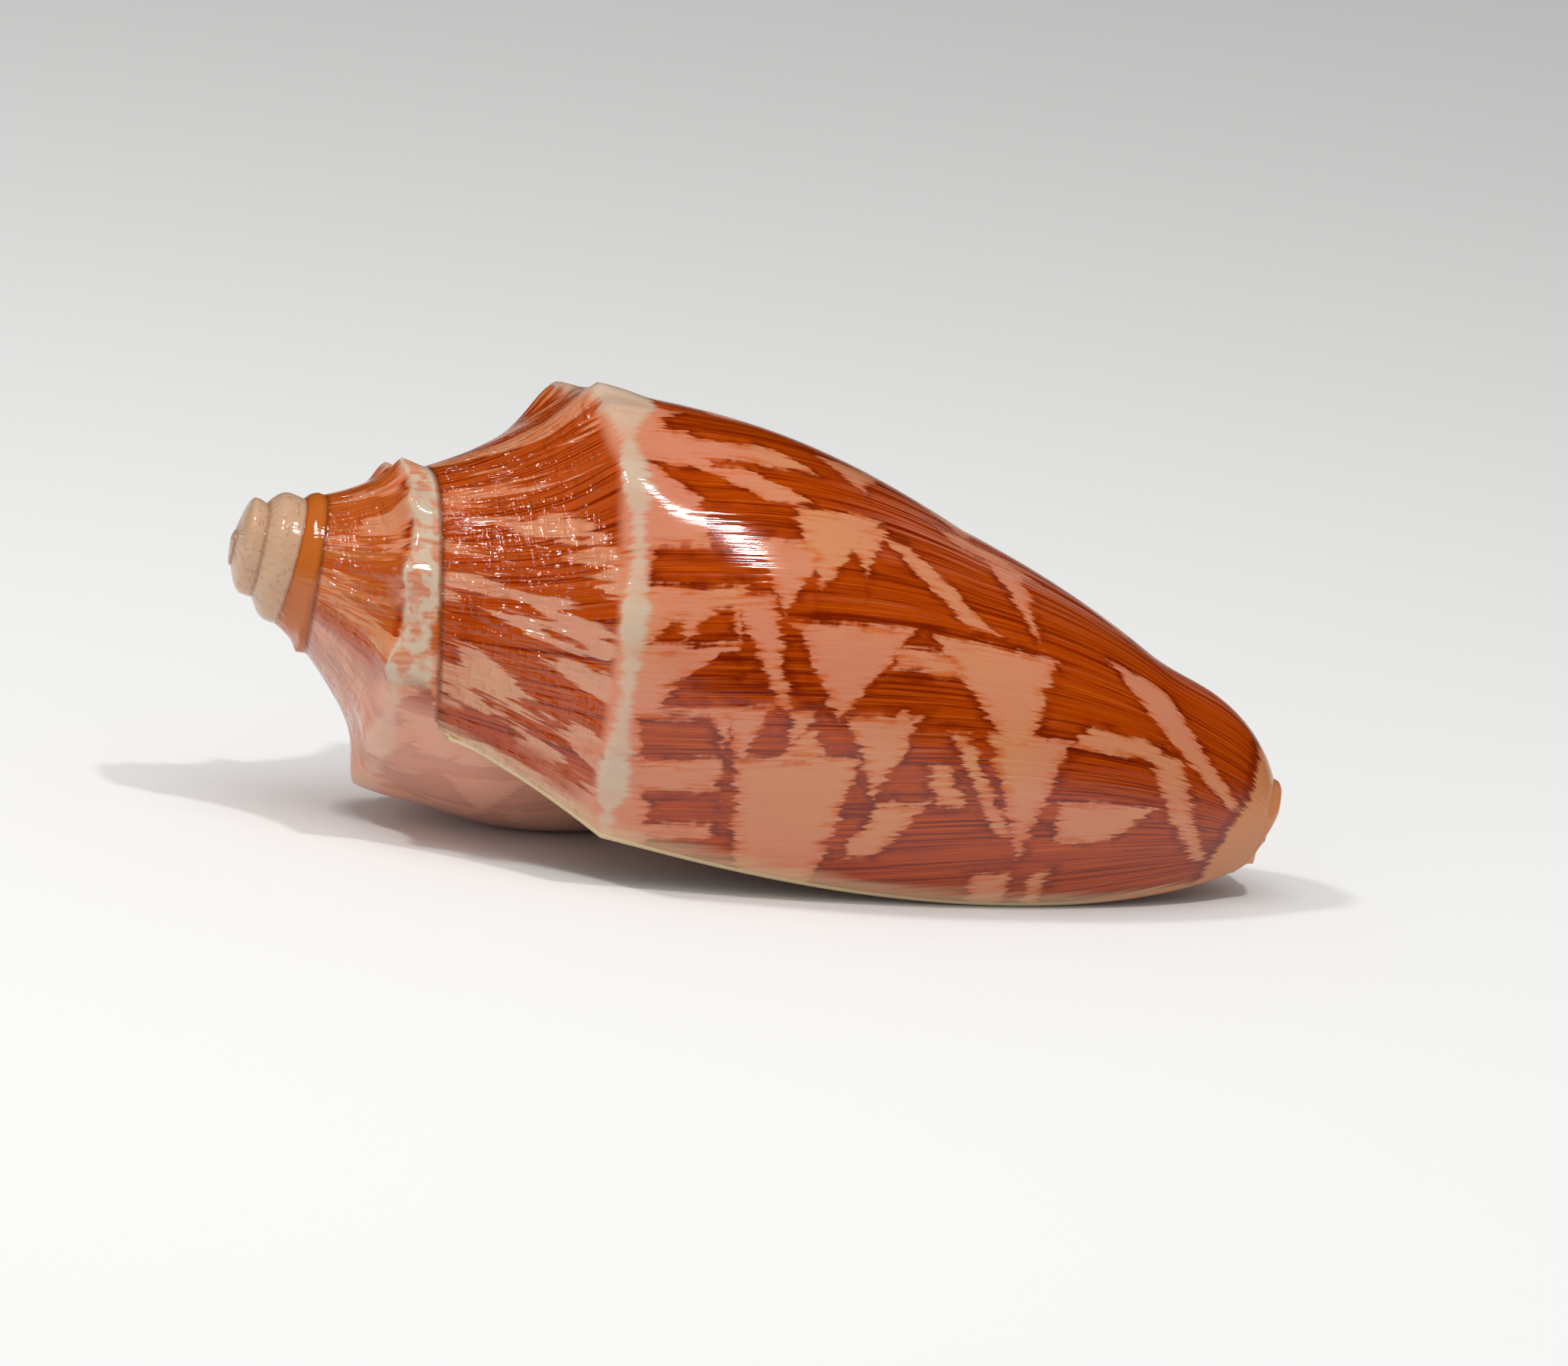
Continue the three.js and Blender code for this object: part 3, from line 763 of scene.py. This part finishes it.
CHANCE_FROM = (-0.315, -0.345)    # dates where the measured tents give way
older = rise(date, *CHANCE_FROM)
chance_depth = most(chance_tents(0.062, 11.0, 11.0), chance_tents(0.047, 7.5, 31.0))
tents = pale_depth + older * (chance_depth - pale_depth)
frayed = 1.8 * (grain(lines * 2.8, station * 0.28, 26.0, detail=3.0) - 0.5)
depth = least(tents, 20.0 * older - brown_depth) + frayed
pale = rise(depth, -0.20, 0.26)
border = rise(depth, -1.3, -0.2) * (1 - pale) * rise(grain(arc * 0.5, station * 0.35, 23.0), 0.35, 0.65)

# %% [markdown]
# Brown is never flat: hair-thin streaks of darker and lighter pigment follow the growth lines,
# and each tent has a darker outline with a rust fringe inside it. The pale ground is salmon pink
# with a faint peach cast. On the top of the whorl, seen edge on, mauve streaks run through the
# brown as a painted sheen, the pale gloss of a grazing view.

# %% Pigment of the last whorl
BROWN_COLOUR = colour("A83C03")
DARK_COLOUR = colour("6A1401")
RUST_COLOUR = colour("C45605")
PINK_COLOUR = colour("CE8163")
PEACH_COLOUR = colour("CE895F")
CREAM_COLOUR = colour("C9B29A")
# mauve for the painted sheen on the top of the whorl and the painted light under the lip
MAUVE_PAINTED_LIGHT_COLOUR = colour("D9A590")

strands = grain(lines * 2.6, station * 0.05, 1.7, detail=4.0, roughness=0.62)
hairs = grain(lines * 7.5, station * 0.09, 6.2, detail=2.0)
brown_tone = glaze.mix(0.85 * rise(strands, 0.46, 0.64), BROWN_COLOUR, DARK_COLOUR)
brown_tone = glaze.mix(0.7 * rise(hairs, 0.54, 0.68), brown_tone, RUST_COLOUR)
brown_tone = glaze.mix(0.22 * rise(strands, 0.40, 0.30), brown_tone, PINK_COLOUR)
brown_tone = glaze.mix(0.75 * border, brown_tone, DARK_COLOUR)
cast = grain(arc * 0.12, station * 0.10, 9.3)
pink_tone = glaze.mix(rise(cast, 0.35, 0.7), PINK_COLOUR, PEACH_COLOUR)
pink_tone = glaze.mix(0.20 * rise(hairs, 0.5, 0.75), pink_tone, RUST_COLOUR)
fringe = rise(depth, 1.3, 0.1) * rise(grain(lines * 2.4, station * 0.3, 25.0), 0.44, 0.60)
pink_tone = glaze.mix(0.75 * fringe, pink_tone, RUST_COLOUR)
skin = glaze.mix(pale, brown_tone, pink_tone)
# Painted sheen: mauve streaks where the top of the whorl is seen edge on, standing in for its grazing gloss
top_sheen = rise(date, -0.19, -0.26) * rise(date, -0.42, -0.34) * rise(station, 44.0, 60.0)
skin = glaze.mix(0.55 * top_sheen * rise(strands, 0.54, 0.38), skin, MAUVE_PAINTED_LIGHT_COLOUR)

# %% [markdown]
# The ramp above the shoulder is streaked from the suture outwards, in ragged tongues of red
# brown. A cream band runs along the shoulder and spreads over the knobs. On the spire the wall
# that shows below the shoulder is cream marbled with pink, with orange between some knobs. One
# whorl is orange and the tip is tan. A dark line of painted shade lies in the crease of the seam,
# and the oldest part of the last whorl, under the lip, is washed with mauve that is partly its
# own colour and partly painted light lifting the shade there.

# %% Ramp, shoulder band and spire
ORANGE_COLOUR = colour("B86124")
TAN_COLOUR = colour("C69F80")
RED_COLOUR = colour("B24A1A")
# dark brown for the painted shade in the seam crease
SEAM_SHADE_COLOUR = colour("74300F")

tongues = grain(arc * 0.30, below * 0.11 + 0.20 * (coarse_comb + fine_comb), 2.6, detail=3.0)
ragged = tongues + 0.22 * (grain(arc * 2.6, below * 0.16, 4.8, detail=3.0) - 0.5)
later = rise(grown, -0.20, -0.12)
ramp_brown = glaze.mix(most(rise(strands, 0.42, 0.58), 0.8 * later), RED_COLOUR, brown_tone)
ramp_pale = glaze.mix(0.22 * later, pink_tone, CREAM_COLOUR)
ramp_tone = glaze.mix(rise(ragged - 0.05 * later, 0.475, 0.430), ramp_brown, ramp_pale)
skin = glaze.mix(rise(below, -0.6, -1.6), skin, ramp_tone)

knob_phase = size_of(glaze.sum_of("FRACT", grown * KNOBS_PER_TURN + 2000.0) - 0.5)
on_knob = rise(knob_phase, 0.34, 0.06)
broad = rise(grown, -0.26, -0.31) * rise(grown, -0.42, -0.36)
band_width = 0.50 + 0.65 * on_knob + 1.4 * broad + 1.6 * coarse_comb + 1.0 * fine_comb
band = rise(size_of(below - 0.3 - 0.8 * broad), band_width + 0.45, band_width - 0.35)
worn = rise(grain(arc * 0.35, 0.0, 21.0), 0.36, 0.56)
skin = glaze.mix(band * most(0.50 + 0.30 * worn, 0.95 * on_knob), skin, CREAM_COLOUR)

SPIRE_SHOWS = (-1.02, -1.05)
ORANGE_WHORL = (-1.60, -1.68)
TAN_WHORLS = (-2.60, -2.68)

spire = rise(grown, *SPIRE_SHOWS)
spire_wall = spire * rise(below, -0.6, 0.0)
spire_tone = glaze.mix(rise(strands, 0.36, 0.62), ORANGE_COLOUR, RED_COLOUR)
spire_tone = glaze.mix(rise(ragged, 0.47, 0.44), spire_tone, pink_tone)
skin = glaze.mix(spire * rise(below, -0.6, -1.4), skin, spire_tone)
notch = rise(knob_phase, 0.40, 0.47) * rise(grain(arc * 0.3, 0.0, 7.7), 0.45, 0.6)
marbled = glaze.mix(rise(grain(arc * 0.9, below * 0.8, 22.0, detail=3.0), 0.44, 0.60),
                    CREAM_COLOUR, glaze.mix(0.75, CREAM_COLOUR, pink_tone))
wall_end = 2.3 + 0.7 * on_knob + 1.2 * coarse_comb
skin = glaze.mix(spire_wall * rise(below, wall_end + 0.5, wall_end - 0.3), skin, marbled)
skin = glaze.mix(spire_wall * rise(below, wall_end - 0.4, wall_end + 0.4), skin, spire_tone)
skin = glaze.mix(spire_wall * notch, skin, ORANGE_COLOUR)
skin = glaze.mix(rise(grown, *ORANGE_WHORL), skin, ORANGE_COLOUR)
skin = glaze.mix(rise(grown, *TAN_WHORLS), skin, TAN_COLOUR)
# Partly painted light: the old whorl's own mauve, laid stronger and lighter to lift the shade under the lip
mauve_and_painted_light = rise(grown, -0.76, -0.86) * rise(grown, -1.04, -1.00)
skin = glaze.mix(0.62 * mauve_and_painted_light, skin, MAUVE_PAINTED_LIGHT_COLOUR)
# Painted shade: a dark line in the crease of the seam, fainter and narrower on the tip
on_tip = rise(grown, -1.55, -1.65)
skin = glaze.mix((0.75 - 0.35 * on_tip) * rise(seam, 0.45 - 0.2 * on_tip, 0.05), skin, SEAM_SHADE_COLOUR)

# %% [markdown]
# The lip has a thin cream edge with a brown stain, and the front end wears a peach rim that
# starts at a dark line, where the siphon lay. Inside, a smooth glaze covers everything in pale
# orange, lighter on the columella and its folds.

# %% Lip, front rim and the inside
RIM_COLOUR = colour("CC8353")
LIP_COLOUR = colour("D9C39C")
INSIDE_COLOUR = colour("E3A06F")
PILLAR_COLOUR = colour("E9BF96")
RIM_STATION = 87.3
RIM_WIDENS = 12.0                 # millimetres to a turn, towards the lip

stain = rise(grown, -0.034, -0.024) * rise(grown, -0.008, -0.016) * rise(below, -1.0, -4.0)
skin = glaze.mix(0.75 * stain, skin, brown_tone)
skin = glaze.mix(0.45 * rise(grown + 0.02 * coarse_comb, -0.014, -0.002), skin, LIP_COLOUR)
to_rim = combed - RIM_STATION + RIM_WIDENS * most(grown + 0.2, 0.0)
skin = glaze.mix(0.6 * rise(to_rim, -1.1, -0.5), skin, DARK_COLOUR)
skin = glaze.mix(rise(to_rim, -0.2, 0.3), skin, RIM_COLOUR)
skin = glaze.mix(rise(part, 0.5, 0.51), skin, LIP_COLOUR)
skin = glaze.mix(rise(part, 0.5, 0.51) * rise(station, 70.0, 84.0), skin, RIM_COLOUR)
skin = glaze.mix(rise(part, 1.5, 1.51), skin, INSIDE_COLOUR)
skin = glaze.mix(rise(part, 2.5, 2.51), skin, PILLAR_COLOUR)

# %% [markdown]
# The surface is glossy enamel. Growth lines ripple the outside faintly, and on the ramp they
# cross spiral threads, a fine cloth-like relief that breaks the highlights into small squares.
# The tip of the spire is beaded. Relief this fine is a bump, since a mesh that held it would need
# millions of faces.

# %% Relief, gloss and the finished material
RIPPLE, FINE_LINE, CLOTH, BEAD = 0.38, 0.16, 2.2, 1.2

outside = rise(part, 0.6, 0.4)
ripple = grain(lines * 1.6, station * 0.05, 12.0, detail=3.0)
fine_lines = grain(lines * 6.0, station * 0.08, 14.0)
threads = grain(below * 1.25, arc * 0.22, 16.0)
ribs = grain(arc * 1.15, below * 0.20, 17.0)
cloth = rise(threads, 0.34, 0.66) * rise(ribs, 0.34, 0.66)
on_ramp = rise(below, -1.0, -2.4) * rise(grown, -2.6, -2.3)
pimples = rise(grain(arc * 1.4, below * 1.6, 24.0), 0.55, 0.70)
tip_relief = rise(grown, -2.60, -2.75) * (0.8 * pimples + 0.5 * ribs)
height = outside * (RIPPLE * ripple + FINE_LINE * fine_lines
                    + CLOTH * on_ramp * cloth + BEAD * tip_relief)
bump = glaze.node("ShaderNodeBump", {}, {"Strength": 0.5, "Distance": 0.25 * MM, "Height": height})
roughness = 0.05 + 0.07 * grain(arc * 0.8, station * 0.5, 18.0)

shader = glaze.node("ShaderNodeBsdfPrincipled", {}, {
    "Base Color": skin, "Roughness": roughness, "Normal": bump, "IOR": 1.53,
    "Specular IOR Level": 0.5,
})
glaze.node("ShaderNodeOutputMaterial", {}, {"Surface": shader})
shell_mesh.materials.append(enamel)
print("nodes in the glaze:", len(glaze.tree.nodes))

# %% [markdown]
# A plain pale floor runs to a pale world. Soft light comes from above and from low on one side.
# Of the lights, the gloss mirrors only two small windows: a mirrored world and mirrored large
# lamps would lay a pale veil over the browns, and the windows give crisp highlights.

# %% Floor and light
FLOOR_HALF = 3.0
SKY_STRENGTH = 0.42
floor_mesh = bpy.data.meshes.new("floor")
corners = [(-1, -1), (1, -1), (1, 1), (-1, 1)]
floor_mesh.from_pydata([(x * FLOOR_HALF, y * FLOOR_HALF, 0) for x, y in corners], [], [(0, 1, 2, 3)])
floor = bpy.data.objects.new("floor", floor_mesh)
bpy.context.scene.collection.objects.link(floor)
paper = bpy.data.materials.new("paper")
paper.use_nodes = True
paper.node_tree.nodes["Principled BSDF"].inputs["Base Color"].default_value = (0.85, 0.85, 0.84, 1)
paper.node_tree.nodes["Principled BSDF"].inputs["Roughness"].default_value = 0.9
floor_mesh.materials.append(paper)

world = bpy.data.worlds.new("studio")
bpy.context.scene.world = world
world.use_nodes = True
world.node_tree.nodes["Background"].inputs["Color"].default_value = (1, 1, 1, 1)
world.node_tree.nodes["Background"].inputs["Strength"].default_value = SKY_STRENGTH
world.cycles_visibility.glossy = False
bpy.context.scene.view_settings.view_transform = "Standard"


def soft_box(name, spot, size, power, mirrored):
    """A square light that faces the shell; the gloss shows it only if it is mirrored."""
    light = bpy.data.lights.new(name, "AREA")
    light.size = size
    light.energy = power
    lamp = bpy.data.objects.new(name, light)
    lamp.location = spot
    lamp.visible_glossy = mirrored
    lamp.rotation_mode = "QUATERNION"
    lamp.rotation_quaternion = Vector(spot).to_track_quat("Z", "Y")
    bpy.context.scene.collection.objects.link(lamp)


soft_box("overhead", (-0.05, -0.12, 0.60), 0.45, 1.0, mirrored=False)
soft_box("low fill", (-0.38, -0.55, 0.12), 0.30, 0.6, mirrored=False)
soft_box("window", (0.16, -0.18, 0.55), 0.03, 0.9, mirrored=True)
soft_box("far window", (-0.31, -0.05, 0.49), 0.06, 0.9, mirrored=True)

# %% [markdown]
# The visual model has to stay as large as the solid. A last update brings the scene up to date. Both boxes
# are written side by side, so that
# anyone can compare them, and the last call checks that every piece rides on a body.

# %% Finish
bpy.context.view_layer.update()
